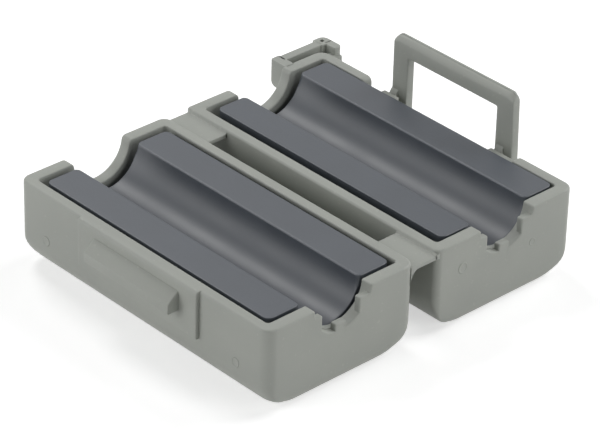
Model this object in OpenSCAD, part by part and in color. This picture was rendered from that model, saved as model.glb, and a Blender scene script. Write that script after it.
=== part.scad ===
// Clip-on ferrite bead, shown open: two moulded trays on a living hinge, a ferrite
// half-core in each, a wedge catch on one tray and a springy latch loop on the other.
// X runs along the cable, +Y from the catch tray to the loop tray, +Z up.

/* [Trays] */
// Length of each tray along the cable
body_l = 39; // [34:0.5:46]
// Width of each tray across the cable
body_w = 20.2; // [18.8:0.2:26]
// Height of each tray, from the floor to the rim
half_h = 10.2; // [9.4:0.2:14]
// Thickness of the long walls
wall_t = 1.3; // [1:0.1:1.7]
// Thickness of the end walls
end_t = 1.5; // [1.2:0.1:2]
// Thickness of the tray floor
floor_t = 1.2; // [0.9:0.1:1.6]
// Radius of the upright corners
corner_r = 1.5; // [0.8:0.1:1.8]
// Radius of the long bottom edges
belly_r = 4; // [2.6:0.1:4.4]
// Radius of the bottom edges at the ends
end_r = 2.2; // [1.6:0.1:3]

/* [Ferrite cores] */
// Radius of the channel that the cable lies in
channel_r = 4; // [3.8:0.1:4.5]
// Gap from the core to the long walls
core_side_gap = 0.5; // [0.3:0.05:0.8]
// Gap from the core to the end walls
core_end_gap = 0.5; // [0.3:0.05:1]
// How far the core's mating face lies below the rim
core_drop = 0.1; // [0.05:0.05:0.3]
// Radius of the core's upright corners
core_corner_r = 1; // [0.6:0.1:1.6]
// Radius of the core's long bottom edges
core_belly_r = 2.4; // [1.8:0.1:3]
// Radius of the ground lips beside the channel
core_lip_r = 0.5; // [0.3:0.05:0.7]
// Height of the floor ribs that the core stands on
rib_h = 0.6; // [0.4:0.1:0.9]
// Width of a floor rib
rib_w = 1.2; // [0.8:0.1:2]
// Width of a crush rib on the long walls
crush_w = 0.8; // [0.6:0.1:1.4]

/* [Cable notches] */
// Radius of the cable notch in both end walls
notch_r = 3.8; // [3.4:0.1:4]
// Radius of the smooth notch's corners at the rim
notch_lip_r = 0.6; // [0.3:0.05:0.8]
// Thickness of the grip teeth along the cable
grip_t = 0.7; // [0.5:0.1:0.9]
// Distance from the cable's axis to the face of a side tooth
grip_side_y = 2.55; // [2.3:0.05:2.9]
// Depth of the side teeth's top ledge below the rim
grip_side_z = 1.15; // [0.9:0.05:1.4]
// Width of the middle tooth
grip_mid_w = 1.25; // [0.9:0.05:1.6]
// Depth of the middle tooth's tip below the rim
grip_mid_z = 2.6; // [2.4:0.05:3]

/* [Living hinge] */
// Gap between the trays when they lie open
hinge_gap = 3; // [2.6:0.1:4]
// Length of each hinge strap along the cable
strap_l = 5.6; // [4:0.1:9]
// Distance from a tray's end to the strap next to it
strap_inset = 0.5; // [0.3:0.1:2]
// Thickness of the hinge straps
strap_t = 0.5; // [0.3:0.05:0.7]
// Depth of the straps' upper face below the rim
strap_drop = 0.45; // [0.3:0.05:0.6]

/* [Catch] */
// Width of the raised pad behind the tooth
pad_w = 18.6; // [17:0.2:20]
// Height of the raised pad, down from the rim
pad_h = 5.6; // [5:0.1:6]
// Thickness of the raised pad
pad_t = 0.45; // [0.3:0.05:0.6]
// Width of the tooth
tooth_w = 13.2; // [12:0.2:13.4]
// How far the tooth stands out of the pad
tooth_out = 1.4; // [1.2:0.05:1.6]
// Depth of the tooth's upper edge below the rim
tooth_top_z = 1; // [0.8:0.05:1.2]
// Depth of the lower end of the tooth's ramp
tooth_ramp_z = 2; // [1.8:0.05:2.3]
// Depth of the tooth's locking ledge
tooth_ledge_z = 3.4; // [3.2:0.05:3.6]

/* [Latch loop] */
// Width of the opening in the loop
loop_open_w = 14; // [13.8:0.1:15]
// Width of each leg of the loop
leg_w = 2.3; // [1.8:0.1:2.6]
// Thickness of the loop
loop_t = 1.1; // [0.9:0.05:1.3]
// Height of the loop's cross bar
bar_h = 2.8; // [2.2:0.1:3.2]
// Radius of the cross bar's outer corners
bar_corner_r = 0.8; // [0.4:0.1:1.2]
// Radius of the lead-in on the cross bar's top edge
bar_lead_r = 0.8; // [0.4:0.1:0.9]
// Clearance from the loop to the pad when the bead is shut
latch_gap = 0.55; // [0.4:0.05:0.8]
// Clearance under the tooth's ledge when the bead is shut
latch_play = 0.15; // [0.1:0.05:0.3]
// Height of the line about which the legs bend, above the rim
flex_z = 0.6; // [0.5:0.05:0.9]
// Width of the rim's cut-out behind the loop
cutout_w = 22.6; // [21:0.2:24]
// Depth of the rim's cut-out
cutout_z = 2.2; // [1.9:0.1:2.6]
// Depth of the wall's stubs behind the legs
stub_z = 0.85; // [0.6:0.05:1.2]
// Width of the gusset that ties a leg to its stub
gusset_w = 1.2; // [0.9:0.1:1.6]
// Depth of the lower end of the legs
root_z = 4.6; // [4:0.1:5.2]
// Height of the foot that joins a leg to the wall
foot_h = 1.6; // [1.2:0.1:2]

/* [Tie eye] */
// Clear width of the eye's slot
eye_slot = 0.9; // [0.7:0.1:1.4]
// Thickness of the eye's bar
eye_t = 1.2; // [1:0.1:1.5]
// Height of the eye
eye_h = 3.3; // [2.6:0.1:4]
// Length of the slot across the end wall
eye_slot_l = 5.6; // [4.2:0.1:6]
// Length of the block at the eye's inner end
eye_block_l = 1.2; // [0.8:0.1:1.6]
// How far the eye's outer block stands proud of the long wall
eye_side_out = 2.3; // [2.2:0.1:3]
// Width of the eye's outer block
eye_knee_w = 1.4; // [1.3:0.1:2]
// Width of the arm from the outer block to the long wall
eye_arm_w = 1.1; // [0.9:0.1:1.3]
// Depth of the arm's foot below the rim
eye_foot_z = 0.9; // [0.6:0.1:1.4]
// Radius of the eye's lower edge
eye_r = 1; // [0.6:0.1:1.2]
// Radius of the small core pin hole in the outer block
pin_hole_r = 0.35; // [0.25:0.05:0.4]

/* [Hidden] */
$fn = 96;

shut_gap = 0.15;                      // between the two rims when shut
flex_gap = 0.06;                      // between a leg's round end and its root
over = 1;                             // overshoot of a cutter past the face it opens
lip_bite = 0.01;                      // how far a lip's round bites into its groove

// Places measured from a tray's hinge side (y) and rim (z)
mid_y = body_w/2;
core_y = wall_t + core_side_gap;
core_w = body_w - 2*core_y;
core_l = body_l - 2*(end_t + core_end_gap);
core_base = half_h - floor_t - rib_h;
pad_y = body_w + pad_t;
loop_y = pad_y + latch_gap;
window_z = tooth_ledge_z + latch_play + shut_gap;
loop_top = window_z + bar_h;
loop_w = loop_open_w + 2*leg_w;
flex_y = loop_y + loop_t/2;
flex_r = loop_t/2;
eye_out = eye_slot + eye_t;
eye_y = body_w + eye_side_out - eye_knee_w - eye_slot_l - eye_block_l;

// The row's origin: the middle of the open part's footprint, on the floor
reach_catch = hinge_gap/2 + pad_y + tooth_out;
reach_loop = hinge_gap/2 + max(body_w + eye_side_out, loop_y + loop_t);
origin = [eye_out/2, (reach_catch - reach_loop)/2, half_h];

plastic = [0.60, 0.61, 0.58];
ferrite = [0.36, 0.37, 0.40];

// A tray's own frame has y = 0 on its hinge side and z = 0 on its rim
module loop_side() translate(origin + [0, hinge_gap/2, 0]) children();
module catch_side() translate(origin) mirror([0, 1, 0]) translate([0, hinge_gap/2, 0]) children();

// Carry a y-z profile along x, an x-z profile along y, or a plan downwards
module along_x(x, length) translate([x, 0, 0]) rotate([90, 0, 90]) linear_extrude(length) children();
module along_y(y, length) translate([0, y + length, 0]) rotate([90, 0, 0]) linear_extrude(length) children();
module down(top, depth) translate([0, 0, top - depth]) linear_extrude(depth) children();

// What a round of radius r takes off a corner; turn 0 points to (+, +)
module corner_cut(at, r, turn) {
    translate(at) rotate(turn) translate([-r, -r]) difference() {
        square(r + over);
        circle(r);
    }
}

// A rectangle from (x0, y0) to (x1, y1) with its lower and its upper corners rounded
module slab(x0, x1, y0, y1, low_r, high_r) {
    difference() {
        translate([x0, y0]) square([x1 - x0, y1 - y0]);
        if (low_r > 0) {
            corner_cut([x0, y0], low_r, 180);
            corner_cut([x1, y0], low_r, 270);
        }
        if (high_r > 0) {
            corner_cut([x0, y1], high_r, 90);
            corner_cut([x1, y1], high_r, 0);
        }
    }
}

// A block with rounded upright corners and rounded bottom edges, its top at z = top
module trough(l, y0, y1, top, depth, plan_r, side_r, run_r) {
    intersection() {
        down(top, depth) slab(-l/2, l/2, y0, y1, plan_r, plan_r);
        along_x(-l/2 - over, l + 2*over) slab(y0, y1, top - depth, top, side_r, 0);
        along_y(y0 - over, y1 - y0 + 2*over) slab(-l/2, l/2, top - depth, top, run_r, 0);
    }
}

// A shell, its two cable notches, and the ribs that hold the core
module tray_body() {
    difference() {
        trough(body_l, 0, body_w, 0, half_h, corner_r, belly_r, end_r);
        trough(body_l - 2*end_t, wall_t, body_w - wall_t, over, half_h - floor_t + over,
               core_corner_r, belly_r - wall_t, end_r - core_corner_r);
        along_x(-body_l/2 - over, end_t + 2*over) translate([mid_y, 0]) groove(notch_r, notch_lip_r);
        along_x(body_l/2 - end_t - over, end_t + over - grip_t) notch();
        along_x(body_l/2 - grip_t - over/2, grip_t + over) grip_notch();
    }
    for (x = [-core_l/3, 0, core_l/3])
        translate([x - rib_w/2, mid_y - core_w/3, -half_h + floor_t]) cube([rib_w, core_w*2/3, rib_h]);
    for (x = [-core_l/3, core_l/3])
        for (y = [wall_t, body_w - core_y])
            translate([x - crush_w/2, y, -core_base + core_belly_r]) cube([crush_w, core_side_gap, core_base/3]);
}

// The cable notch, seen along x
module notch() translate([mid_y, 0]) circle(notch_r);

// A half-round groove with its two upper corners rounded off, open upwards
module groove(r, lip_r) {
    side = sqrt(pow(r + lip_r, 2) - pow(lip_r, 2)) - lip_bite;
    low = lip_r*r/(r + lip_r);
    circle(r);
    difference() {
        translate([-side, -low]) square([2*side, low + over]);
        for (s = [-1, 1]) translate([s*side, -lip_r]) circle(lip_r);
    }
}

// The notch less the three teeth that grip the cable's jacket
module grip_notch() {
    difference() {
        notch();
        translate([mid_y - grip_mid_w/2, -notch_r - over]) square([grip_mid_w, notch_r + over - grip_mid_z]);
        translate([mid_y - notch_r - over, -notch_r - over])
            square([notch_r + over - grip_side_y, notch_r + over - grip_side_z]);
        translate([mid_y + grip_side_y, -notch_r - over])
            square([notch_r + over - grip_side_y, notch_r + over - grip_side_z]);
    }
}

// A ferrite half-core with a ground mating face and a half-round channel
module half_core() {
    difference() {
        trough(core_l, core_y, core_y + core_w, -core_drop, core_base - core_drop,
               core_corner_r, core_belly_r, core_corner_r);
        along_x(-core_l/2 - over, core_l + 2*over) translate([mid_y, -core_drop]) groove(channel_r, core_lip_r);
    }
}

// One web of the living hinge, from tray to tray, running inwards from the end at x
module strap(x, way) {
    translate(origin + [min(x, x + way*strap_l), -hinge_gap/2, -strap_drop - strap_t])
        cube([strap_l, hinge_gap, strap_t]);
}

// The tray that carries the raised pad and the wedge-shaped tooth
module catch_tray() {
    color(plastic) catch_side() {
        tray_body();
        along_y(body_w, pad_t) slab(-pad_w/2, pad_w/2, -pad_h, 0, pad_t, 0);
        along_x(-tooth_w/2, tooth_w)
            polygon([[pad_y, -tooth_top_z], [pad_y + tooth_out, -tooth_ramp_z],
                     [pad_y + tooth_out, -tooth_ledge_z], [pad_y, -tooth_ledge_z]]);
    }
}

module catch_core() color(ferrite) catch_side() half_core();

module loop_core() color(ferrite) loop_side() half_core();

module hinge_strap_far() color(plastic) strap(-body_l/2 + strap_inset, 1);

module hinge_strap_near() color(plastic) strap(body_l/2 - strap_inset, -1);

// The tray that carries the latch loop's roots and the tie eye
module loop_tray() {
    color(plastic) loop_side() {
        difference() {
            tray_body();
            along_y(body_w - wall_t - over/4, wall_t + over)
                slab(-cutout_w/2, cutout_w/2, -cutout_z, over, wall_t/2, 0);
        }
        for (s = [-1, 1]) leg_root(s);
        tie_eye();
    }
}

// The fixed lower part of a leg, its stub of rim, and the gusset and foot that join them
module leg_root(s) {
    x = s*(loop_open_w + leg_w)/2;
    along_x(x - leg_w/2, leg_w) difference() {
        translate([loop_y, -root_z]) square([loop_t, root_z + flex_z]);
        translate([flex_y, flex_z]) circle(flex_r + flex_gap);
    }
    along_x(x - leg_w/2, leg_w) polygon([[body_w - wall_t/2, -root_z], [loop_y + loop_t/2, -root_z],
        [loop_y + loop_t/2, -root_z + foot_h], [body_w - wall_t/2, -root_z + foot_h + loop_t/2]]);
    translate([x - leg_w/2, body_w - wall_t, -cutout_z - over/2]) cube([leg_w, wall_t, cutout_z + over/2 - stub_z]);
    translate([x - leg_w/2, body_w - wall_t/2, -root_z + foot_h/2])
        cube([gusset_w, loop_y - body_w + wall_t/2 + loop_t/2, root_z - foot_h/2 - stub_z]);
}

// The springy loop: two legs and a cross bar with a rounded lead-in on its top edge
module latch_loop() {
    color(plastic) loop_side() {
        intersection() {
            along_y(loop_y - over, loop_t + 2*over) difference() {
                slab(-loop_w/2, loop_w/2, flex_z - flex_r, loop_top, 0, bar_corner_r);
                translate([-loop_open_w/2, flex_z - flex_r - over])
                    square([loop_open_w, window_z - flex_z + flex_r + over]);
            }
            along_x(-loop_w/2 - over, loop_w + 2*over) {
                difference() {
                    translate([loop_y, flex_z]) square([loop_t, loop_top - flex_z]);
                    corner_cut([loop_y, loop_top], bar_lead_r, 90);
                }
                translate([flex_y, flex_z]) circle(flex_r);
            }
        }
    }
}

// The eye on the far end wall that a cable tie goes through, with its pin-holed outer block
module tie_eye() {
    end = -body_l/2;
    knee = body_w + eye_side_out;
    difference() {
        intersection() {
            down(0, eye_h) {
                translate([end - eye_out, eye_y]) square([eye_out + end_t/2, eye_block_l]);
                translate([end - eye_out, eye_y]) square([eye_t, knee - eye_y]);
                translate([end - eye_out, knee - eye_arm_w]) square([eye_out + end_t, eye_arm_w]);
            }
            along_y(eye_y - over, knee - eye_y + 2*over) slab(end - eye_out, end + 2*eye_out, -eye_h, 0, eye_r, 0);
        }
        translate([end - eye_out + eye_t/2, knee - eye_arm_w, -eye_h/2]) cylinder(h = eye_h, r = pin_hole_r);
    }
    translate([end, body_w - wall_t/2, -eye_h]) cube([end_t, wall_t/2 + eye_side_out - eye_arm_w/2, eye_h - eye_foot_z]);
}

catch_tray();
catch_core();
hinge_strap_far();
hinge_strap_near();
loop_tray();
loop_core();
latch_loop();
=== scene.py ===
import math
import bpy
import bmesh
import numpy as np
from mathutils import Matrix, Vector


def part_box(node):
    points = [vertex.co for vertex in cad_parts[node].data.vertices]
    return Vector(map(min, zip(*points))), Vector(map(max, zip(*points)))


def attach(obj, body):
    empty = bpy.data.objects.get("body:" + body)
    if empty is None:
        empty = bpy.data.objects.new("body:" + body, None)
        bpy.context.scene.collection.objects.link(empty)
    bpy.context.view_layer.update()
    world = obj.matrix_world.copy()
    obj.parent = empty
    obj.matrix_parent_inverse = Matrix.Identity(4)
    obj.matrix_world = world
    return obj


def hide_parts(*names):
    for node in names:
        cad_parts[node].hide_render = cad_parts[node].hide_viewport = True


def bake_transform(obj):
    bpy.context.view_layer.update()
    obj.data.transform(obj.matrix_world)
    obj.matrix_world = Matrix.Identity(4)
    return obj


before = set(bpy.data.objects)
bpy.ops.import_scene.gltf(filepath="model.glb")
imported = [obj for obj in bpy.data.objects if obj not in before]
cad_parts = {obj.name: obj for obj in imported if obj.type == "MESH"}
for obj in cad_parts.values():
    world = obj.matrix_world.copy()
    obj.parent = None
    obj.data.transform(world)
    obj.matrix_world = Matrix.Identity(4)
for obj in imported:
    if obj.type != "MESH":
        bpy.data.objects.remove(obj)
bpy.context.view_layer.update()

# ---------------------------------------------------------------------------
# Catch tray. One half of the moulded nylon case: a thin-walled open box that
# stands on its flat floor, with a half-round cable notch in each end wall.
# Its outer long wall carries a raised pad and the wedge that the loop snaps over.
# ---------------------------------------------------------------------------
MM = 0.001

low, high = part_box("catch_tray")
RIM_Z = high.z/MM
MID_X = (low.x + high.x)/2/MM
TRAY_L = (high.x - low.x)/MM
STRAP_LOW, STRAP_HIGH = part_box("hinge_strap_far")
FOLD_Y = (STRAP_LOW.y + STRAP_HIGH.y)/2/MM
HINGE_GAP = (STRAP_HIGH.y - STRAP_LOW.y)/MM
PAD_T, PAD_HALF, PAD_FOOT_Z, PAD_EDGE_R = 0.45, 9.3, -5.6, 0.14
TOOTH_OUT, TOOTH_HALF_L, TOOTH_EDGE_R = 1.4, 6.6, 0.16
TOOTH_TOP_Z, TOOTH_RAMP_Z, TOOTH_LEDGE_Z = -0.76, -2.3, -3.45
TRAY_W = (high.y - low.y)/MM - PAD_T - TOOTH_OUT
TRAY_H = RIM_Z
WALL_T, END_T, FLOOR_T = 1.3, 1.5, 1.2
CORNER_R, BELLY_R = 1.5, 4.0
NOTCH_R, NOTCH_LIP_R, GRIP_T = 3.8, 0.6, 0.7
POCKET_R = 0.45
RIM_R, RIM_INNER_R, PAD_RIM_R = 0.3, 0.15, 0.38


def turns(count):
    """count angles from 0 to a quarter turn."""
    return np.linspace(0, math.pi/2, count)


def rounded(points, radii, count=6, closed=True):
    """The path through the points with each corner replaced by an arc of its radius r, tangent to
    both sides: it starts r / tan(half the corner's angle) before the corner, and its points are
    the centre plus the two end spokes weighted by sines."""
    p, r = np.array(points, float), np.array(radii, float)[:, None]
    before, after = np.roll(p, 1, 0), np.roll(p, -1, 0)
    if not closed:
        before, after, r = before[1:-1], after[1:-1], r[1:-1]
    middle = p if closed else p[1:-1]
    to_last, to_next = before - middle, after - middle
    to_last /= np.linalg.norm(to_last, axis=1)[:, None]
    to_next /= np.linalg.norm(to_next, axis=1)[:, None]
    half = np.arccos((to_last*to_next).sum(1))[:, None]/2
    bisector = (to_last + to_next)/np.linalg.norm(to_last + to_next, axis=1)[:, None]
    centre = (middle + bisector*r/np.sin(half))[:, None]
    first, last = (middle + to*r/np.tan(half) for to in (to_last, to_next))
    sweep = (math.pi - 2*half)[:, :, None]
    share = np.linspace(0, 1, count)[None, :, None]
    arcs = centre + (np.sin((1 - share)*sweep)*(first[:, None] - centre)
                     + np.sin(share*sweep)*(last[:, None] - centre))/np.sin(sweep)
    arcs = arcs.reshape(-1, 2)
    return arcs if closed else np.vstack([p[:1], arcs, p[-1:]])


def dense(path, step):
    """The same path with points added so that none are further apart than step."""
    reach = np.concatenate([[0], np.cumsum(np.linalg.norm(np.diff(path, axis=0), axis=1))])
    marks = np.union1d(reach.round(6), np.linspace(0, reach[-1], int(reach[-1]/step) + 2).round(6))
    marks = marks[np.concatenate([[True], np.diff(marks) > 1e-4])]
    return np.stack([np.interp(marks, reach, path[:, k]) for k in range(path.shape[1])], 1)


def inward(path, closed=True):
    """Each point's normal to the left of the path, stretched so that an offset along it keeps
    both neighbouring sides parallel: (n1 + n2) / (1 + n1 . n2)."""
    if closed:
        ahead = np.roll(path, -1, 0) - path
        behind = path - np.roll(path, 1, 0)
    else:
        ahead = np.diff(path, axis=0, append=path[-1:]*2 - path[-2:-1])
        behind = np.diff(path, axis=0, prepend=path[:1]*2 - path[1:2])
    n1 = np.stack([-ahead[:, 1], ahead[:, 0]], 1)/np.linalg.norm(ahead, axis=1)[:, None]
    n2 = np.stack([-behind[:, 1], behind[:, 0]], 1)/np.linalg.norm(behind, axis=1)[:, None]
    return (n1 + n2)/(1 + (n1*n2).sum(1))[:, None].clip(0.3)


def skin(rows):
    """A closed shell as (points, faces): rows is a (row, column, xyz) array of closed loops, each
    joined to the next by four-sided faces, with the first and the last loop filled flat. The
    faces are turned round if the enclosed volume comes out negative."""
    rows = np.asarray(rows, float)
    count, around = rows.shape[:2]
    k, i = np.meshgrid(np.arange(count - 1), np.arange(around), indexing="ij")
    a, b = k*around + i, k*around + (i + 1) % around
    quads = np.stack([a, b, b + around, a + around], -1).reshape(-1, 4)
    points = rows.reshape(-1, 3)
    ends = [np.arange(around)[::-1], np.arange(around) + (count - 1)*around]
    fans = np.vstack([quads[:, [0, 1, 2]], quads[:, [0, 2, 3]]]
                     + [np.stack([np.full(around - 2, e[0]), e[1:-1], e[2:]], 1) for e in ends])
    corner = points[fans]
    volume = (corner[:, 0]*np.cross(corner[:, 1], corner[:, 2])).sum()
    faces = quads.tolist() + [e.tolist() for e in ends]
    return points, [f[::-1] for f in faces] if volume < 0 else faces


def piece(name, shells, material, crease=33):
    """One object from one or more closed shells given in millimetres, in the frame of the part.
    Points closer than 0.2 micrometres are merged, the flat ends are cut into triangles, and edges
    that turn by more than crease degrees are kept sharp."""
    points, faces, start = [], [], 0
    for shell_points, shell_faces in shells:
        points.append(shell_points)
        faces += [[start + v for v in face] for face in shell_faces]
        start += len(shell_points)
    mesh = bpy.data.meshes.new(name)
    mesh.from_pydata(np.vstack(points).tolist(), [], faces)
    work = bmesh.new()
    work.from_mesh(mesh)
    bmesh.ops.remove_doubles(work, verts=work.verts, dist=2e-4)
    bmesh.ops.dissolve_degenerate(work, edges=work.edges, dist=2e-4)
    bmesh.ops.triangulate(work, faces=[f for f in work.faces if len(f.verts) > 4])
    bmesh.ops.scale(work, vec=(MM, MM, MM), verts=work.verts)
    work.to_mesh(mesh)
    work.free()
    mesh.shade_smooth()
    mesh.set_sharp_from_angle(angle=math.radians(crease))
    mesh.materials.append(material)
    thing = bpy.data.objects.new(name, mesh)
    bpy.context.scene.collection.objects.link(thing)
    return thing


def side_columns(rim, back, foot, soft=0.3, proud=0.0):
    """The columns of one side as rows of (rim s, rim z, inner rim s, inner rim z, foot s, edge
    radius, outward step), with s measured along the side from its middle."""
    count = len(foot)
    return np.column_stack([rim, back, foot, np.broadcast_to(soft, count), np.broadcast_to(proud, count)])


def plain_side(half):
    """A side with a level rim, straight from -half to +half."""
    path = dense(np.array([[-half, 0.0], [half, 0.0]]), 2.0)
    return side_columns(path, path, path[:, 0])


def padded_side(half):
    """A level side with the raised pad. At the pad's edge the columns go straight out at one s
    and then round an arc of radius r: s = half the pad - r (1 - cos t), step = its thickness
    - r (1 - sin t)."""
    t = turns(4)
    s = np.concatenate([np.linspace(half, PAD_HALF + 0.001, 5), PAD_HALF - PAD_EDGE_R*(1 - np.cos(t)),
                        np.linspace(PAD_HALF - 0.5, 0, 6)])
    step = np.concatenate([np.zeros(5), PAD_T - PAD_EDGE_R*(1 - np.sin(t)), np.full(6, PAD_T)])
    path = np.column_stack([-s, 0*s])
    path, step = np.vstack([path, path[-2::-1]*[-1, 1]]), np.concatenate([step, step[-2::-1]])
    return side_columns(path, path, path[:, 0], np.where(step > 0, PAD_RIM_R, RIM_R), step)


def groove_arc(first, last, count, drop=1.0):
    """Points of the notch's circle from one angle to another, in degrees from straight down; drop
    scales its depth."""
    angle = np.radians(np.linspace(first, last, count))
    return np.stack([NOTCH_R*np.sin(angle), -NOTCH_R*drop*np.cos(angle)], 1)


def smooth_notch_side(half):
    """An end wall with the smooth notch: level, round a lip, round the circle, and back. The
    lip's centre lies one lip radius below the rim and its arc touches the circle."""
    lip_y = math.sqrt((NOTCH_R + NOTCH_LIP_R)**2 - NOTCH_LIP_R**2)
    touch = math.degrees(math.atan2(lip_y, NOTCH_LIP_R))
    lip = math.pi/2 - np.linspace(0, math.radians(touch), 9)[1:-1]
    lip = np.stack([-lip_y + NOTCH_LIP_R*np.cos(lip), -NOTCH_LIP_R + NOTCH_LIP_R*np.sin(lip)], 1)
    start = dense(np.array([[-half, 0.0], [-lip_y, 0.0]]), 1.2)
    left = np.vstack([start, lip])
    path = np.vstack([left, groove_arc(-touch, touch, 49), left[::-1]*[-1, 1]])
    reach = np.concatenate([[0], np.cumsum(np.linalg.norm(np.diff(path, axis=0), axis=1))])
    first, last = reach[len(start) - 1], reach[-1] - reach[len(start) - 1]
    foot = np.interp(reach, [0, first, last, reach[-1]], [-half, -lip_y - 0.5, lip_y + 0.5, half])
    return side_columns(path, path, foot)


def toothed_notch_side(half, side_y=2.5, side_z=0.95, mid_y=0.75, mid_z=2.78, drop=0.95, worn=0.2,
                       shift=-0.28):
    """The end wall with the grip teeth: on each side a ledge at side_z that ends at side_y, and a
    tooth of half width mid_y in the middle, with its top at mid_z. The outer rim curve follows
    the teeth, which stand a little off the middle by shift, the inner one follows the plain
    circle behind them, and both have the same number of points."""
    deep = math.degrees(math.asin(side_y/NOTCH_R))
    shelf = math.degrees(math.acos(side_z/NOTCH_R/drop))
    root = math.degrees(math.asin(mid_y/NOTCH_R))
    low_z = -NOTCH_R*drop*math.cos(math.radians(deep))
    root_z = -NOTCH_R*drop*math.cos(math.radians(root))
    level = dense(np.array([[-half, 0.0], [-NOTCH_R - worn, 0.0]]), 0.5)
    lip = rounded([[-NOTCH_R - 1, 0], [-NOTCH_R, 0], [-NOTCH_R, -1]], [0, worn, 0], 6, False)[1:-1]
    fall = groove_arc(-84, -shelf, 7, drop)
    ledge = [[-NOTCH_R*math.sin(math.radians(shelf)), -side_z], [-side_y, -side_z], [-side_y, low_z]]
    ledge = dense(rounded(ledge, [0, worn, 0], 6, False), 0.25)
    low = groove_arc(-deep, -root, 17, drop)
    tooth = [[-mid_y, root_z], [-mid_y, -mid_z], [mid_y, -mid_z], [mid_y, root_z]]
    tooth = dense(rounded(tooth, [0, worn, worn, 0], 6, False), 0.22)
    left = [level, lip, fall, ledge[1:], low[1:]]
    left_back = [level, lip, fall, groove_arc(-shelf, -deep, len(ledge), drop)[1:], low[1:]]
    rim = np.vstack(left + [tooth[1:-1]] + [part[::-1]*[-1, 1] for part in left[::-1]])
    back = np.vstack(left_back + [groove_arc(-root, root, len(tooth), drop)[1:-1]]
                     + [part[::-1]*[-1, 1] for part in left_back[::-1]])
    rim[:, 0] += shift*np.clip(NOTCH_R - np.abs(rim[:, 0]), 0, 1)
    # The columns at these marks stand on the floor at these places, and the others between them.
    ends = np.cumsum([len(part) for part in left])
    total = len(rim) - 1
    marks = [0, ends[0] - 1, ends[1], ends[2] - 1, ends[2] + len(ledge)//2, ends[3] - 1, ends[4] - 1,
             ends[4] + len(tooth)//4]
    places = [-half, -4.9, -4.75, -4.1, -3.3, -2.62, -0.66, -0.42]
    foot = np.interp(np.arange(total + 1), marks + [total - m for m in marks[::-1]],
                     places + [-p for p in places[::-1]])
    return side_columns(rim, back, foot, worn*0.95)


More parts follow.
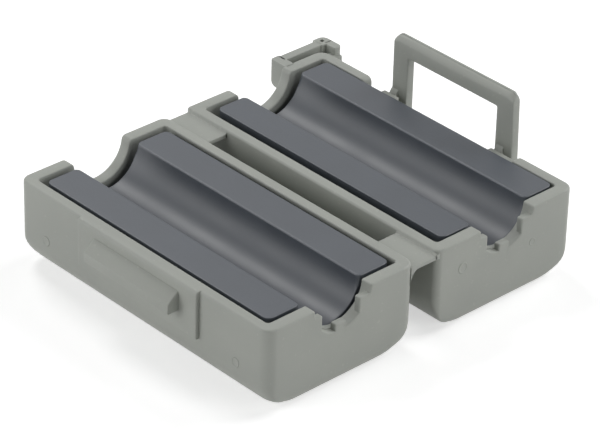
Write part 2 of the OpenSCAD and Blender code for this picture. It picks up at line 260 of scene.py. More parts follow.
def tray_shell(middle_y, sides, corners, end_r):
    """The tray as one closed skin. Every column stands on one point of the plan outline, a
    rectangle with round corners, and every row has an inset from it: up the rounded bottom edge
    by a quarter turn, up the wall to its rim curve, over the rim by two small quarter turns, down
    inside, and in along the floor. sides holds the columns of the sides that face +x, +y, -x and
    -y; a quarter turn of columns, with its radius from corners, follows each side. The ends'
    bottom edge is a small round of end_r that climbs along a circle of BELLY_R near the sides."""
    half_x, half_y = TRAY_L/2, TRAY_W/2
    fill = 11  # columns in a corner
    columns, outward, facing, turned = [], [], [], []
    for k, side in enumerate(sides):
        quarter = np.zeros((fill, 7))
        quarter[:, 5] = RIM_R
        columns += [side, quarter]
        outward += [-inward(side[:, 0:2], False), np.tile([0, -1], (fill, 1))]
        outward[-2] = np.column_stack([outward[-2], -inward(side[:, 2:4], False)])
        outward[-1] = np.tile(outward[-1], (1, 2))
        facing += [np.full(len(side) + fill, k)]
        turned += [np.full(len(side), -1.0), np.linspace(0, math.pi/2, fill + 2)[1:-1]]
    columns, normal = np.vstack(columns), np.vstack(outward)
    facing, turned = np.concatenate(facing), np.concatenate(turned)
    rim, back, foot, soft, proud = columns[:, 0:2], columns[:, 2:4], *columns[:, 4:7].T
    corner, turn = turned > 0, np.clip(turned, 0, None)
    on_end = facing % 2 == 0
    out = np.array([[1, 0], [0, 1], [-1, 0], [0, -1]], float)[facing]
    ahead = np.array([[0, 1], [-1, 0], [0, -1], [1, 0]], float)[facing]
    # Columns nearer the middle than keep stay where they are as the outline shrinks, so that the
    # notch and the pad stay upright. Those beyond it are drawn in together.
    keep = np.where(on_end, 5.2, 13.0)
    full = np.where(on_end, half_y, half_x) - CORNER_R
    share_of_end = np.where(on_end, np.cos(turn)**2, np.sin(turn)**2)
    corners = np.array(corners)
    plan_r = np.where(corner | (foot > 0), corners[facing], corners[facing - 1])

    def place(inset_x, inset_y, radius, along, z, step=0.0):
        """Points of one row: the outline inset along x and y, with its own corner radius."""
        hx, hy = half_x - inset_x, half_y - inset_y
        across, reach = np.where(on_end, hx, hy), np.where(on_end, hy, hx) - radius
        size = np.abs(along)
        held = np.minimum(keep, 0.7*reach)
        drawn_in = held + (size - held)*(reach - held)/(full - held)
        drawn = np.sign(along)*np.where(size > held, drawn_in, size)
        flat = out*(across + step)[:, None] + ahead*drawn[:, None]
        bent = out*(across - radius)[:, None] + ahead*reach[:, None]
        bent = bent + out*(radius*np.cos(turn))[:, None] + ahead*(radius*np.sin(turn))[:, None]
        plan = np.where(corner[:, None], bent, flat)
        return np.column_stack([MID_X + plan[:, 0], middle_y + plan[:, 1], RIM_Z + z + 0*turn])

    flat_end = on_end & ~corner
    near_side = np.clip(np.where(flat_end, np.abs(foot), half_y - CORNER_R) - half_y + BELLY_R, 0, None)
    climb = end_r + BELLY_R - np.sqrt(BELLY_R**2 - near_side**2)
    belly = np.where(flat_end, climb, BELLY_R + (climb - BELLY_R)*share_of_end)
    inner_end_r = max(0.2, end_r - 1.0)
    # The flat of the floor starts a little inside the rounded edge.
    rows = [place(end_r + 0.35, BELLY_R + 0.35, plan_r + 1.2, foot, -TRAY_H)]
    for t in turns(11):
        pull = 1 - math.sin(t)
        rows.append(place(end_r*pull, BELLY_R*pull, plan_r + 1.2*pull, foot,
                          -TRAY_H + belly*(1 - math.cos(t))))
    pad_foot = [(PAD_FOOT_Z, 0.0)] + [(PAD_FOOT_Z + PAD_EDGE_R*(1 - math.cos(t)),
                                       PAD_T - PAD_EDGE_R*(1 - math.sin(t))) for t in turns(4)]
    levels = [((z + TRAY_H - BELLY_R)/(TRAY_H - BELLY_R - RIM_R), step) for z, step in pad_foot]
    for share, step in [(0.05, 0.0)] + levels + [(k, PAD_T) for k in (0.25, 0.4, 0.6, 0.8, 0.92)]:
        along = foot + (rim[:, 0] + normal[:, 0]*soft - foot)*share
        z = (belly - TRAY_H)*(1 - share) + (rim[:, 1] + normal[:, 1]*soft)*share
        rows.append(place(0, 0, plan_r, along, z, np.minimum(proud, step)))
    for t in turns(6):
        depth, inset = soft*(1 - math.sin(t)), soft*(1 - math.cos(t))
        path = rim + normal[:, 0:2]*depth[:, None]
        rows.append(place(inset, inset, plan_r - inset, path[:, 0], path[:, 1], proud))
    for path in (rim, back):
        rows.append(place(GRIP_T, GRIP_T*WALL_T/END_T, plan_r - GRIP_T/2, path[:, 0], path[:, 1]))
    for t in turns(4):
        depth, inset = RIM_INNER_R*(1 - math.cos(t)), RIM_INNER_R*(1 - math.sin(t))
        path = back + normal[:, 2:4]*depth
        rows.append(place(END_T - inset, WALL_T - inset, POCKET_R, path[:, 0], path[:, 1]))
    hollow = BELLY_R - WALL_T + (inner_end_r - BELLY_R + WALL_T)*share_of_end
    for share in (0.66, 0.33):
        along = foot + (path[:, 0] - foot)*share
        z = (FLOOR_T - TRAY_H + hollow)*(1 - share) + path[:, 1]*share
        rows.append(place(END_T, WALL_T, POCKET_R, along, z))
    for t in turns(6)[::-1]:
        pull = 1 - math.sin(t)
        rows.append(place(END_T + inner_end_r*pull, WALL_T + (BELLY_R - WALL_T)*pull, POCKET_R, foot,
                          FLOOR_T - TRAY_H + hollow*(1 - math.cos(t))))
    rows.append(place(END_T + inner_end_r + 0.3, BELLY_R + 0.3, POCKET_R, foot, FLOOR_T - TRAY_H))
    return skin(rows)


def block(outline, depth_from, depth_to, x, y, z, edge):
    """A plate: the closed outline, drawn on the y-z plane from the point (x, y, z), carried
    straight along x from one depth to the other, its edges rounded by offsets of
    edge (1 - sin t) at depths of edge (1 - cos t)."""
    outline = np.asarray(outline, float)
    area = (outline[:, 0]*np.roll(outline[:, 1], -1) - outline[:, 1]*np.roll(outline[:, 0], -1)).sum()
    shift = inward(outline)*np.sign(area)
    sign = math.copysign(1, depth_to - depth_from)
    quarter = [(edge*(1 - math.cos(t)), edge*(1 - math.sin(t))) for t in turns(4)]
    quarter = [(0, edge + 0.05)] + quarter
    steps = [(depth_from + sign*depth, offset) for depth, offset in quarter]
    steps += [(depth_to - sign*depth, offset) for depth, offset in quarter[::-1]]
    rows = [(depth, outline + shift*offset) for depth, offset in steps]
    return skin([np.column_stack([np.full(len(ab), x + depth), y + ab[:, 0], z + ab[:, 1]])
                 for depth, ab in rows])


def mark(x, y, z, wide, tall, proud, facing):
    """A low oval ring, such as a moulding tool leaves: an oval whose height follows a profile
    of (share of its half width, share of proud). facing is -y or +x."""
    turn = np.linspace(0, 2*math.pi, 36, endpoint=False)
    profile = [(1.04, -0.3), (1, 0.2), (0.95, 0.8), (0.88, 1),
               (0.8, 0.8), (0.72, 0.3), (0.6, 0.1), (0.2, 0.1)]
    rows = []
    for share, height in profile:
        a, b, c = wide/2*share*np.cos(turn), tall/2*share*np.sin(turn), proud*height
        ring = [x + a, y - c + 0*a, z + b] if facing == "-y" else [x + c + 0*a, y + a, z + b]
        rows.append(np.column_stack(ring))
    return skin(rows)


class Maths:
    """A shader socket that adds Math nodes when it is added to or multiplied."""

    def __init__(self, graph, socket):
        self.graph, self.socket = graph, socket

    def maths(self, operation, first, second):
        return self.graph.node("ShaderNodeMath", {"operation": operation}, {0: first, 1: second})

    def __add__(self, other): return self.maths("ADD", self, other)
    def __radd__(self, other): return self.maths("ADD", other, self)
    def __mul__(self, other): return self.maths("MULTIPLY", self, other)
    def __rmul__(self, other): return self.maths("MULTIPLY", other, self)


class Graph:
    """A node tree, with one method that makes any node."""

    def __init__(self, tree):
        self.tree = tree

    def node(self, kind, settings=None, inputs=None, output=0):
        """Makes a node, sets its settings first and then the values or links of its sockets."""
        made = self.tree.nodes.new(kind)
        for key, value in (settings or {}).items():
            if key == "stops":
                ramp = made.color_ramp
                while len(ramp.elements) < len(value):
                    ramp.elements.new(1)
                for element, (position, colour) in zip(ramp.elements, value):
                    element.position, element.color = position, colour
            else:
                setattr(made, key, value)
        for key, value in (inputs or {}).items():
            self.join(value, made.inputs[key])
        return Maths(self, made.outputs[output])

    def join(self, value, socket):
        """Links a Maths value to a socket, or sets the socket to a plain value."""
        if isinstance(value, Maths):
            self.tree.links.new(value.socket, socket)
        else:
            socket.default_value = value


class Finish(Graph):
    """A new material, with its surface shader and the patterns that go into it."""

    def __init__(self, name):
        self.material = bpy.data.materials.new(name)
        self.material.use_nodes = True
        super().__init__(self.material.node_tree)
        self.surface = self.tree.nodes["Principled BSDF"]

    def dress(self, **inputs):
        """Sets the surface shader's sockets; underscores in the keywords stand for spaces."""
        for key, value in inputs.items():
            self.join(value, self.surface.inputs[key.replace("_", " ")])
        return self.material

    def noise(self, scale, detail=2.0, rough=0.5, stretch=(1, 1, 1)):
        """Noise on Object coordinates, scale in cycles per metre, stretched along the axes."""
        place = self.node("ShaderNodeTexCoord", output=3)
        place = self.node("ShaderNodeMapping", {}, {"Vector": place, "Scale": stretch})
        return self.node("ShaderNodeTexNoise", {}, {"Vector": place, "Scale": scale, "Detail": detail,
                                                    "Roughness": rough})

    def ramp(self, value, *stops):
        """Maps a value to a colour through stops of (position, (r, g, b))."""
        return self.node("ShaderNodeValToRGB", {"stops": [(p, (*c, 1)) for p, c in stops]}, {"Fac": value})

    def mix(self, share, one, other, blend="MIX"):
        """Mixes two colours by a share, which may be a number or a Maths value."""
        sockets = {0: share, 6: one if isinstance(one, Maths) else (*one, 1),
                   7: other if isinstance(other, Maths) else (*other, 1)}
        return self.node("ShaderNodeMix", {"data_type": "RGBA", "blend_type": blend}, sockets, output=2)


def colour(red, green, blue):
    """Linear colour from screen values of 0 to 255."""
    c = np.array([red, green, blue])/255
    return tuple(np.where(c <= 0.04045, c/12.92, ((c + 0.055)/1.055)**2.4).tolist())


def case_plastic():
    """Warm grey moulded nylon: faint cloudy flow, sparse near-white specks of painted glint, and a fine
    spark-eroded skin.
    """
    f = Finish("case_plastic")
    cloud = f.noise(95, 3, 0.55)
    grain = f.noise(5200, 2, 0.6)
    # Sparse near-white specks over the whole case: painted glints, tiny highlights put into the colour.
    painted_glints = f.ramp(f.noise(2600, 1, 0.4), (0.70, (0, 0, 0)), (0.76, (1, 1, 1)))
    base = f.ramp(cloud, (0.30, colour(161, 164, 158)), (0.70, colour(171, 174, 167)))
    base = f.mix(grain*0.16, base, colour(142, 146, 138))
    base = f.mix(0.22, base, f.mix(painted_glints, base, colour(196, 197, 188)))
    bump = f.node("ShaderNodeBump", {}, {"Strength": 0.25, "Distance": 0.00002, "Height": grain})
    return f.dress(Base_Color=base, Roughness=0.40 + cloud*0.22, Normal=bump)


plastic = case_plastic()
catch_mid = FOLD_Y - HINGE_GAP/2 - TRAY_W/2
end_half, long_half = TRAY_W/2 - CORNER_R, TRAY_L/2 - CORNER_R
catch_face = catch_mid - TRAY_W/2

tooth_outline = rounded([[0.4, TOOTH_TOP_Z], [-TOOTH_OUT, TOOTH_RAMP_Z], [-TOOTH_OUT, TOOTH_LEDGE_Z],
                         [0.4, TOOTH_LEDGE_Z]], [TOOTH_EDGE_R]*4)
tooth = block(tooth_outline, -TOOTH_HALF_L, TOOTH_HALF_L, MID_X, catch_face - PAD_T, RIM_Z, edge=0.10)
marks = [mark(MID_X - 15.05, catch_face, RIM_Z - 5.7, 1.15, 1.2, 0.06, "-y"),
         mark(MID_X + 14.8, catch_face, RIM_Z - 5.7, 1.1, 1.2, 0.06, "-y")]
catch_shell = tray_shell(catch_mid, [toothed_notch_side(end_half), plain_side(long_half),
                                     smooth_notch_side(end_half), padded_side(long_half)],
                         [1.4, 1.1, 1.3, 1.3], end_r=1.75)
catch_case = piece("catch_tray_moulding", [catch_shell, tooth] + marks, plastic)
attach(catch_case, "catch_half")
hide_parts("catch_tray")

# ---------------------------------------------------------------------------
# Ferrite half-cores. Pressed and fired ceramic blocks, dark blue grey, with the
# mating face ground flat and a half-round channel for the cable. Each drops into
# its tray, stands on ribs on the floor and is held by crush ribs on the walls.
# ---------------------------------------------------------------------------
core_low, core_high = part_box("catch_core")
CORE_L, CORE_W = (core_high.x - core_low.x)/MM, (core_high.y - core_low.y)/MM
CORE_TOP = core_high.z/MM - RIM_Z
CORE_H = (core_high.z - core_low.z)/MM
CHANNEL_R, CORE_LIP_R, LIP_END_R = 4.0, 0.18, 0.6
CORE_BELLY_R, CORE_EDGE_R, CORE_CORNER_R, CORE_WORN_R, LIP_END_DEPTH = 2.4, 0.08, 0.75, 0.10, 1.6


def core_section():
    """Half of the section runs round the bottom edge, up the side, over the ground face and its
    lip, and down the channel's quarter circle; the other half is its mirror image."""
    lip_y = math.sqrt((CHANNEL_R + CORE_LIP_R)**2 - CORE_LIP_R**2)
    touch = math.atan2(lip_y, CORE_LIP_R)
    outer = rounded([[0, -CORE_H], [CORE_W/2, -CORE_H], [CORE_W/2, 0], [lip_y, 0]],
                    [0, CORE_BELLY_R, CORE_EDGE_R, 0], 9, False)[1:-1]
    level = dense(np.vstack([outer[-1:], [[lip_y, 0]]]), 0.6)[1:]
    lip = math.pi/2 + np.linspace(0, touch, 12)[1:-1]
    lip = np.column_stack([lip_y + CORE_LIP_R*np.cos(lip), -CORE_LIP_R + CORE_LIP_R*np.sin(lip)])
    angle = np.linspace(touch, 0, 30)
    arc = np.column_stack([CHANNEL_R*np.sin(angle), -CHANNEL_R*np.cos(angle)])
    right = np.vstack([outer, level, lip, arc])
    return np.vstack([right, right[-2::-1]*[-1, 1]])


def half_core(name, middle_x, middle_y, length, width, material, body, node):
    """The section carried along x. Near each end it shrinks by r (1 - sin t) for the worn edge,
    its sides draw in along a quarter circle for the upright corner, and the ends of the lips are
    rounded off in the same way. The width is taken from the sides, beyond held from the middle."""
    section = core_section()
    shift = inward(section)
    held = 5.4
    stations = [(0, CORE_WORN_R + 0.04)]
    stations += [(CORE_WORN_R*(1 - math.cos(t)), CORE_WORN_R*(1 - math.sin(t))) for t in turns(4)]
    stations += [(d, 0) for d in (0.28, 0.42, 0.6, 0.8, 1.0, 6.0, length/2)]
    rows = []
    for sign, order in ((-1, stations), (1, stations[-2::-1])):
        for depth, offset in order:
            inside, chipped = (r - math.sqrt(r**2 - max(0, r - depth)**2) for r in (CORE_CORNER_R, LIP_END_R))
            ab = section + shift*offset
            size = np.abs(ab[:, 0])
            reach = (width/2 - inside - held)/(CORE_W/2 - held)
            near_lip = np.clip((held - size)/(held - CHANNEL_R), 0, 1)
            near_lip = near_lip*np.clip(1 + ab[:, 1]/LIP_END_DEPTH, 0, 1)
            y = np.where(size > held, held + (size - held)*reach, size + chipped*near_lip)
            y = y*np.sign(ab[:, 0])
            rows.append(np.column_stack([np.full(len(y), middle_x + sign*(length/2 - depth)), middle_y + y,
                                         RIM_Z + CORE_TOP + ab[:, 1]]))
    made = piece(name, [skin(rows)], material, crease=40)
    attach(made, body)
    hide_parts(node)
    return made


def ferrite_finish():
    """Dark grey ceramic: fine sintered grain, faint grinding lines along the cable, and darker
    smudges where the press has rubbed it."""
    f = Finish("ferrite")
    grain = f.noise(3400, 3, 0.65)
    cloud = f.noise(140, 4, 0.6)
    lines = f.noise(2200, 1, 0.5, (0.03, 1, 1))
    smudge = f.ramp(f.noise(260, 3, 0.6), (0.60, (0, 0, 0)), (0.70, (1, 1, 1)))
    base = f.ramp(cloud, (0.30, colour(60, 66, 74)), (0.72, colour(68, 74, 82)))
    base = f.mix(grain*0.30, base, colour(47, 51, 57))
    base = f.mix(0.10, base, f.mix(smudge, base, colour(40, 42, 46)))
    bump = f.node("ShaderNodeBump", {}, {"Strength": 0.2, "Distance": 0.00002, "Height": grain + lines*0.8})
    return f.dress(Base_Color=base, Roughness=0.38 + cloud*0.16, IOR=1.65, Normal=bump)


# Each core lies a little to one side in its tray, and the two are ground to slightly different sizes.
ferrite = ferrite_finish()
loop_mid = FOLD_Y + HINGE_GAP/2 + TRAY_W/2
half_core("catch_half_core", MID_X + 0.15, catch_mid, CORE_L - 0.4, CORE_W,
          ferrite, "catch_half", "catch_core")
half_core("loop_half_core", MID_X + 0.2, loop_mid + 0.5, CORE_L - 0.1, CORE_W - 0.25,
          ferrite, "loop_half", "loop_core")

# ---------------------------------------------------------------------------
# Loop tray. The case's other half, moulded with the catch tray in one shot. Its
# outer rim is cut down behind the latch loop, with a stub of rim and a gusset at
# each leg, and a small eye for a cable tie stands on its far end wall.
# ---------------------------------------------------------------------------
LOOP_OPEN, LEG_W, LOOP_T = 14.0, 2.3, 1.1
CUT_HALF, CUT_Z, STEP_Z, STEP_FROM_FAR, STEP_FROM_NEAR = 11.3, 2.2, 0.7, 7.2, 7.0
ROOT_Z, FOOT_LEG_Z, FOOT_WALL_Z, GUSSET_Z = 4.6, -3.0, -2.4, -0.75
loop_low, loop_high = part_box("latch_loop")
LOOP_IN, LOOP_TOP = loop_low.y/MM, loop_high.z/MM - RIM_Z - 0.55
loop_face = loop_mid + TRAY_W/2
LEG_IN, LEG_OUT = LOOP_OPEN/2, LOOP_OPEN/2 + LEG_W


def cut_down_side(half):
    """The outer long wall: level at both ends, cut down between them, and left a little higher
    behind each leg. Each column's foot is found from the feet at the middles of the steps."""
    corners = [[-half, 0], [-CUT_HALF, 0], [-CUT_HALF, -STEP_Z], [-STEP_FROM_FAR, -STEP_Z],
               [-STEP_FROM_FAR, -CUT_Z], [STEP_FROM_NEAR, -CUT_Z], [STEP_FROM_NEAR, -STEP_Z],
               [LEG_OUT, -STEP_Z], [LEG_OUT, -CUT_Z], [CUT_HALF, -CUT_Z], [CUT_HALF, 0], [half, 0]]
    path = dense(rounded(corners, [0, 0.5, 0.15] + [0.2]*7 + [0.7, 0], 7, False), 1.0)
    reach = np.concatenate([[0], np.cumsum(np.linalg.norm(np.diff(path, axis=0), axis=1))])
    steps = [(np.array(corners[k]) + corners[k + 1])/2 for k in (1, 3, 5, 7, 9)]
    known = [0] + [int(np.argmin(np.linalg.norm(path - step, axis=1))) for step in steps] + [len(path) - 1]
    return side_columns(path, path, np.interp(reach, reach[known], path[known, 0]))


loop_shell = tray_shell(loop_mid, [toothed_notch_side(end_half), cut_down_side(long_half),
                                   smooth_notch_side(end_half), plain_side(long_half)],
                        [1.3, 1.3, 0.4, 0.8], end_r=1.3)


def leg_ties(side):
    """The foot that joins a leg to the wall low down, and the narrow gusset above it."""
    x = MID_X + side*(LEG_IN + LEG_OUT)/2
    to_face = LOOP_IN - loop_face
    to_leg = to_face + LOOP_T/2
    slope_z = GUSSET_Z - 1.5*to_face
    foot = rounded([[-0.6, -ROOT_Z], [to_leg, -ROOT_Z], [to_leg, FOOT_LEG_Z], [-0.6, FOOT_WALL_Z]], [0.2]*4)
    gusset = rounded([[-0.5, -ROOT_Z + 0.4], [to_leg, -ROOT_Z + 0.4], [to_leg, GUSSET_Z],
                      [to_face, GUSSET_Z], [-0.1, slope_z], [-0.5, slope_z]], [0.1]*6)
    return [block(foot, -LEG_W/2 + 0.02, LEG_W/2 - 0.02, x, loop_face, RIM_Z, edge=0.1),
            block(gusset, -LEG_W/2, -0.1, x, loop_face, RIM_Z, edge=0.08)]


EYE_H, EYE_T, EYE_SLOT, EYE_EDGE_R = 3.3, 1.2, 0.9, 0.12
EYE_FROM, EYE_TO, EYE_BLOCK_L, EYE_OUTER_L = 14.3, 22.5, 1.3, 1.75
EYE_ARM_T, EYE_FOOT_Z, EYE_HOLE_R = 1.1, 0.9, 0.3


def upright(outline, radii, low_r=1.0, hole=None):
    """An upright block with a plan outline and round edges. Towards the bottom its outer side
    draws in along a quarter circle of radius low_r, measured from the block's outermost x. hole
    is the (x, y, radius) of a round hole in the top."""
    plate = rounded(np.array(outline) + [MID_X, loop_mid], radii, 6)
    area = (plate[:, 0]*np.roll(plate[:, 1], -1) - plate[:, 1]*np.roll(plate[:, 0], -1)).sum()
    shift = inward(plate)*np.sign(area)
    outermost = plate[:, 0].min()

    def ring(x, y, z):
        return np.column_stack([x, y, np.full(len(plate), z)])

    edges = [(0, EYE_EDGE_R + 0.04)]
    edges += [(EYE_EDGE_R*(1 - math.cos(t)), EYE_EDGE_R*(1 - math.sin(t))) for t in turns(4)]
    rows = [ring(*(plate + shift*offset).T, RIM_Z - depth) for depth, offset in edges]
    if hole:
        x, y, r = MID_X + hole[0], loop_mid + hole[1], hole[2]
        turn = np.arctan2(rows[0][:, 1] - y, rows[0][:, 0] - x)
        hole_rows = [ring(x + r*np.cos(turn), y + r*np.sin(turn), RIM_Z - depth) for depth in (0.9, 0)]
        rows = hole_rows + rows
    for t in turns(7):
        x = np.maximum(plate[:, 0], outermost + low_r*(1 - math.cos(t)))
        rows.append(ring(x, plate[:, 1], RIM_Z - EYE_H + low_r*(1 - math.sin(t))))
    return skin(rows)


def tie_eye():
    """The bar that the tie passes behind, a block at each of its ends, and the arm and its foot
    that hold the outer block to the side wall. Each reaches a little way into its neighbours."""
    wall, side = -TRAY_L/2, TRAY_W/2
    gap = wall - EYE_SLOT
    out = gap - EYE_T
    y0, y1 = EYE_FROM - side, EYE_TO - side

    def box(x_in, x_out, y_from, y_to):
        return [[x_in, y_from], [x_out, y_from], [x_out, y_to], [x_in, y_to]]

    inner_block = box(wall + 0.5, out - 0.1, y0, y0 + EYE_BLOCK_L)
    bar = box(gap, out + 0.1, y0 + EYE_BLOCK_L - 0.4, y1 - EYE_OUTER_L + 0.3)
    outer_block = box(gap + 0.15, out - 0.25, y1 - EYE_OUTER_L, y1)
    arm = box(wall + 0.7, gap - 0.2, y1 - EYE_ARM_T, y1)
    foot = box(wall + 1.4, wall - 0.1, side - 0.5, y1 - 0.5)
    low_foot, faces = upright(foot, [0.17]*4, low_r=0.2)
    low_foot[:, 2] = np.minimum(low_foot[:, 2], RIM_Z - EYE_FOOT_Z)
    return [upright(inner_block, [0.2, 0.3, 0.2, 0.2]), upright(bar, [0.17]*4),
            upright(outer_block, [0.17, 0.2, 0.85, 0.17], hole=(out + 0.6, y1 - 1.0, EYE_HOLE_R)),
            upright(arm, [0.17, 0.17, 0.17, 0.4], low_r=0.2), (low_foot, faces)]


end_face = MID_X + TRAY_L/2
loop_marks = [mark(end_face, loop_mid - 6.3, RIM_Z - 3.4, 1.3, 1.35, 0.06, "+x"),
              mark(end_face, loop_mid + 4.0, RIM_Z - 4.4, 0.9, 0.9, 0.04, "+x")]
loop_shells = [loop_shell] + leg_ties(-1) + leg_ties(1) + tie_eye() + loop_marks
loop_case = piece("loop_tray_moulding", loop_shells, plastic)
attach(loop_case, "loop_half")
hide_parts("loop_tray")

# ---------------------------------------------------------------------------
# Living hinge. Two thin webs of the same nylon, one near each end, join the trays
# just below their rims. They are moulded flat and bend as the bead is shut.
# ---------------------------------------------------------------------------
HAUNCH_IN, HAUNCH_L, HAUNCH_H, WEB_R, LIFT_R = 0.6, 1.0, 1.65, 0.15, 0.25


def web(name, node, from_x, to_x):
    """A strip across the gap with round corners. Under its catch end it thickens along a quarter
    ellipse, the haunch, and at its loop end along quarter circles of WEB_R below and LIFT_R
    above. Its rows of points lie side by side along y."""
    low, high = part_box(node)
    top, bottom, edge = high.z/MM, low.z/MM, HINGE_GAP/2
    corners = [[from_x, 0], [to_x, 0], [to_x, 1], [from_x, 1], [from_x, 0]]
    loop = dense(rounded(corners, [0, 0.14, 0.14, 0.14, 0], 5, False), 0.8)[:-1]
    haunch = [(-edge - HAUNCH_IN + HAUNCH_L*(1 - math.sin(t)), HAUNCH_H*(1 - math.cos(t))) for t in turns(14)]
    fillet = [(edge - WEB_R*(1 - math.cos(t)), WEB_R*(1 - math.sin(t))) for t in turns(5)]
    level = [(y, 0) for y in np.linspace(haunch[0][0], fillet[0][0], 26)[1:-1]]
    rows = []
    for y, drop in haunch[::-1] + level + fillet + [(edge + 0.7, WEB_R)]:
        rise = LIFT_R - math.sqrt(LIFT_R**2 - min(LIFT_R, max(0, y - edge + LIFT_R))**2)
        z = bottom - drop + loop[:, 1]*(top - bottom + drop + rise)
        rows.append(np.column_stack([loop[:, 0], np.full(len(loop), FOLD_Y + y), z]))
    made = piece(name, [skin(rows)], plastic)
    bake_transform(made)
    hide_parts(node)


far_end, near_end = MID_X - TRAY_L/2, MID_X + TRAY_L/2
web("hinge_web_far", "hinge_strap_far", far_end + 0.35, far_end + 6.65)
web("hinge_web_near", "hinge_strap_near", near_end - 6.05, near_end - 0.1)

# ---------------------------------------------------------------------------
# Latch loop. A springy upright frame moulded on the loop tray: two legs that
# start low on the wall and a deep cross bar with a rounded lead-in. The legs bend
# outwards as the bar rides over the wedge and spring back under it.
# ---------------------------------------------------------------------------
WINDOW_Z, WINDOW_R, NEAR_LEG_IN, NEAR_LEG_LEAN = 3.7, 0.2, 6.65, 0.3
FRAME_CORNER_R, FRAME_EDGE_R, LEAD_Z, LEAD_H = 0.85, 0.16, 0.85, 0.75


def frame_edges():
    """The window's edge and the frame's outer edge as two paths of equal length: up one leg,
    round the corner, along the bar, and down the other leg. Both are drawn as half a frame for
    each leg, and the near half is turned over."""
    share = np.concatenate([np.linspace(0, 1, 30), np.arange(2, 9), np.linspace(9, 10, 14)])
    halves = []
    for leg_in, lean in ((LEG_IN, 0.0), (NEAR_LEG_IN, NEAR_LEG_LEAN)):
        inner = [[-leg_in, -ROOT_Z], [-leg_in, WINDOW_Z], [0, WINDOW_Z]]
        outer = [[-LEG_OUT, -ROOT_Z], [lean - LEG_OUT, LOOP_TOP], [0, LOOP_TOP]]
        paths = [rounded(corners, [0, r, 0], 9, False)
                 for corners, r in ((inner, WINDOW_R), (outer, FRAME_CORNER_R))]
        halves.append([np.column_stack([np.interp(share, np.arange(11), path[:, k]) for k in (0, 1)])
                       for path in paths])
    return [np.vstack([far, near[-2::-1]*[-1, 1]]) for far, near in zip(*halves)]


def latch_frame():
    """A rounded section between the two paths at each station. The section's two outer corners
    grow along the bar, from LEAD_Z below its top and over LEAD_H, and the one on the tray's side
    makes the lead-in."""
    inner, outer = frame_edges()
    width = np.linalg.norm(outer - inner, axis=1)[:, None]
    lead = np.clip((outer[:, 1] - LOOP_TOP + LEAD_Z)/LEAD_H, 0, 1)[:, None]
    t = turns(5)[None, :]
    across, deep = [], []
    corners = [(False, False, 0.0), (False, True, 0.0), (True, True, 0.3), (True, False, 0.76)]
    for on_outer, away, growth in corners:
        r = FRAME_EDGE_R + growth*lead
        first, second = r*(1 - np.sin(t)), r*(1 - np.cos(t))
        if on_outer != away:
            first, second = first[:, ::-1], second[:, ::-1]
        across.append(width - first if on_outer else first)
        deep.append(LOOP_T - second if away else second)
    across, deep = np.hstack(across)/width, np.hstack(deep)
    rows = inner[:, None] + (outer - inner)[:, None]*across[:, :, None]
    return skin(np.stack([MID_X + rows[:, :, 0], LOOP_IN + deep, RIM_Z + rows[:, :, 1]], -1))


latch = piece("latch_loop_frame", [latch_frame()], plastic)
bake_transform(latch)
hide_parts("latch_loop")

# ---------------------------------------------------------------------------
# Studio. A wide white table top under a white sky, four soft lamps round the
# object, and the camera.
# ---------------------------------------------------------------------------
scene = bpy.context.scene
scene.view_settings.view_transform = "Standard"


def seen(graph):
    """1 where the camera looks straight or by way of a reflection, and 0 for all other light."""
    return (graph.node("ShaderNodeLightPath", output="Is Camera Ray")
            + graph.node("ShaderNodeLightPath", output="Is Glossy Ray"))


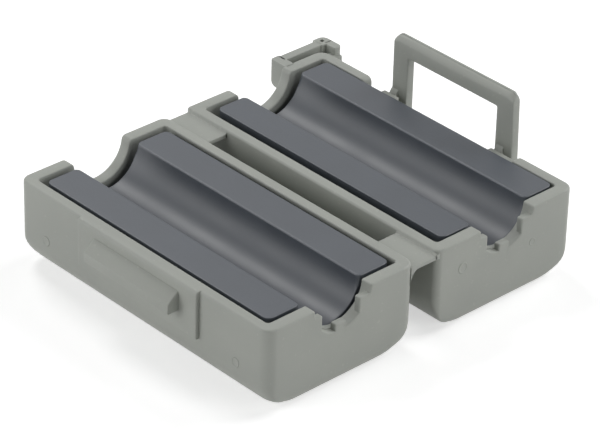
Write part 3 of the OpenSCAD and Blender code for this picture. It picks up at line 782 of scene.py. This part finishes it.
TABLE_HALF = 3.0
table = Finish("table_top")
table.dress(Base_Color=(0.86, 0.86, 0.86, 1), Roughness=0.9, Specular_IOR_Level=0.0, Emission_Strength=1.0,
            Emission_Color=table.mix(seen(table), (0, 0, 0), (0.55, 0.55, 0.55)))
mesh = bpy.data.meshes.new("table_top")
mesh.from_pydata([(-TABLE_HALF, -TABLE_HALF, 0), (TABLE_HALF, -TABLE_HALF, 0), (TABLE_HALF, TABLE_HALF, 0),
                  (-TABLE_HALF, TABLE_HALF, 0)], [], [(0, 1, 2, 3)])
mesh.materials.append(table.material)
floor = bpy.data.objects.new("table_top", mesh)
scene.collection.objects.link(floor)

world = bpy.data.worlds.new("studio")
scene.world = world
world.use_nodes = True
sky = Graph(world.node_tree)
background = sky.tree.nodes["Background"]
background.inputs["Color"].default_value = (1, 1, 1, 1)
sky.join(seen(sky), background.inputs["Strength"])


def towards(azimuth, elevation):
    """The unit vector at a compass angle, counted from +x towards +y, and a height, in degrees."""
    az, el = math.radians(azimuth), math.radians(elevation)
    return np.array([math.cos(az)*math.cos(el), math.sin(az)*math.cos(el), math.sin(el)])


def aimed(back, place, roll=0.0):
    """The matrix that puts a lamp or the camera at place with its back towards the vector back
    and its own x level, but for a roll in radians."""
    level = np.cross([0, 0, 1], back)
    level /= np.linalg.norm(level)
    over = np.cross(back, level)
    right = math.cos(roll)*level + math.sin(roll)*over
    up = math.cos(roll)*over - math.sin(roll)*level
    return Matrix(np.vstack([np.column_stack([right, up, back, place]), [0, 0, 0, 1]]).tolist())


LAMP_DISTANCE = 0.5
for name, azimuth, elevation, size, watts in (("left", 170, 50, 0.16, 0.72), ("back", 75, 38, 0.30, 1.22),
                                              ("front", 245, 20, 0.40, 1.30), ("right", 10, 20, 0.30, 0.76)):
    lamp = bpy.data.lights.new(name, "AREA")
    lamp.shape, lamp.size, lamp.energy = "SQUARE", size, watts
    softbox = bpy.data.objects.new(name, lamp)
    softbox.matrix_world = aimed(towards(azimuth, elevation), towards(azimuth, elevation)*LAMP_DISTANCE)
    scene.collection.objects.link(softbox)

CAMERA_DISTANCE = 348.9
camera_data = bpy.data.cameras.new("camera")
camera_data.lens, camera_data.sensor_width, camera_data.sensor_fit = 203.26, 36, "HORIZONTAL"
camera_data.clip_start, camera_data.clip_end = 0.01, 20
camera = bpy.data.objects.new("camera", camera_data)
aim = np.array([MID_X + 5.43, FOLD_Y - 4.60, RIM_Z])*MM
back = towards(-43.36, 31.51)
camera.matrix_world = aimed(back, aim + back*CAMERA_DISTANCE*MM, math.radians(1.61))
scene.collection.objects.link(camera)
scene.camera = camera
